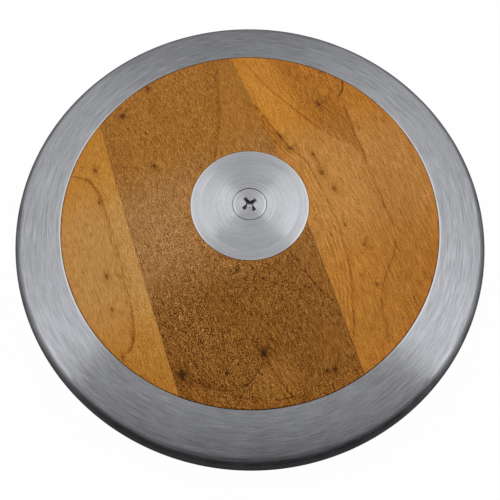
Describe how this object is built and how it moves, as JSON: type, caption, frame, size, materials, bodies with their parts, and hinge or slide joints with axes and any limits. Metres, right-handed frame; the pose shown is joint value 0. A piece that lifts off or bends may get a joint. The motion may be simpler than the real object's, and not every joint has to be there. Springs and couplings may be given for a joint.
{
  "type": "discus",
  "caption": "Round throwing implement: a lens-shaped body of edge-glued boards in a heavy brushed metal rim, with a flush screwed plate at the centre of each face.",
  "frame": {"origin": "centre of the disc, midway between its two flat centres", "axes": "+Z square to the disc through the centre screws; +Y along the grain of the boards"},
  "size_m": [0.2194, 0.2194, 0.0442],
  "materials": {
    "rim_steel": "brushed round the axis, darker on the round nose",
    "plate_steel": "fine turned",
    "screw_steel": "bright, slightly worn",
    "inner_steel": "plain machined",
    "honey_wood": "satin varnish",
    "brown_wood": "satin varnish",
    "tan_wood": "satin varnish"
  },
  "bodies": {
    "root": {"rim": "rim_steel", "upper_narrow_stave": "honey_wood", "upper_centre_stave": "brown_wood", "upper_wide_stave": "tan_wood", "lower_narrow_stave": "honey_wood", "lower_centre_stave": "brown_wood", "lower_wide_stave": "tan_wood", "upper_plate": "plate_steel", "lower_plate": "plate_steel", "upper_screw": "screw_steel", "lower_screw": "screw_steel", "upper_trim_washer": "inner_steel", "lower_trim_washer": "inner_steel", "core_sleeve": "inner_steel", "rim_pin_1": "inner_steel", "rim_pin_2": "inner_steel", "rim_pin_3": "inner_steel", "rim_pin_4": "inner_steel", "rim_pin_5": "inner_steel", "rim_pin_6": "inner_steel"}
  },
  "joints": []
}
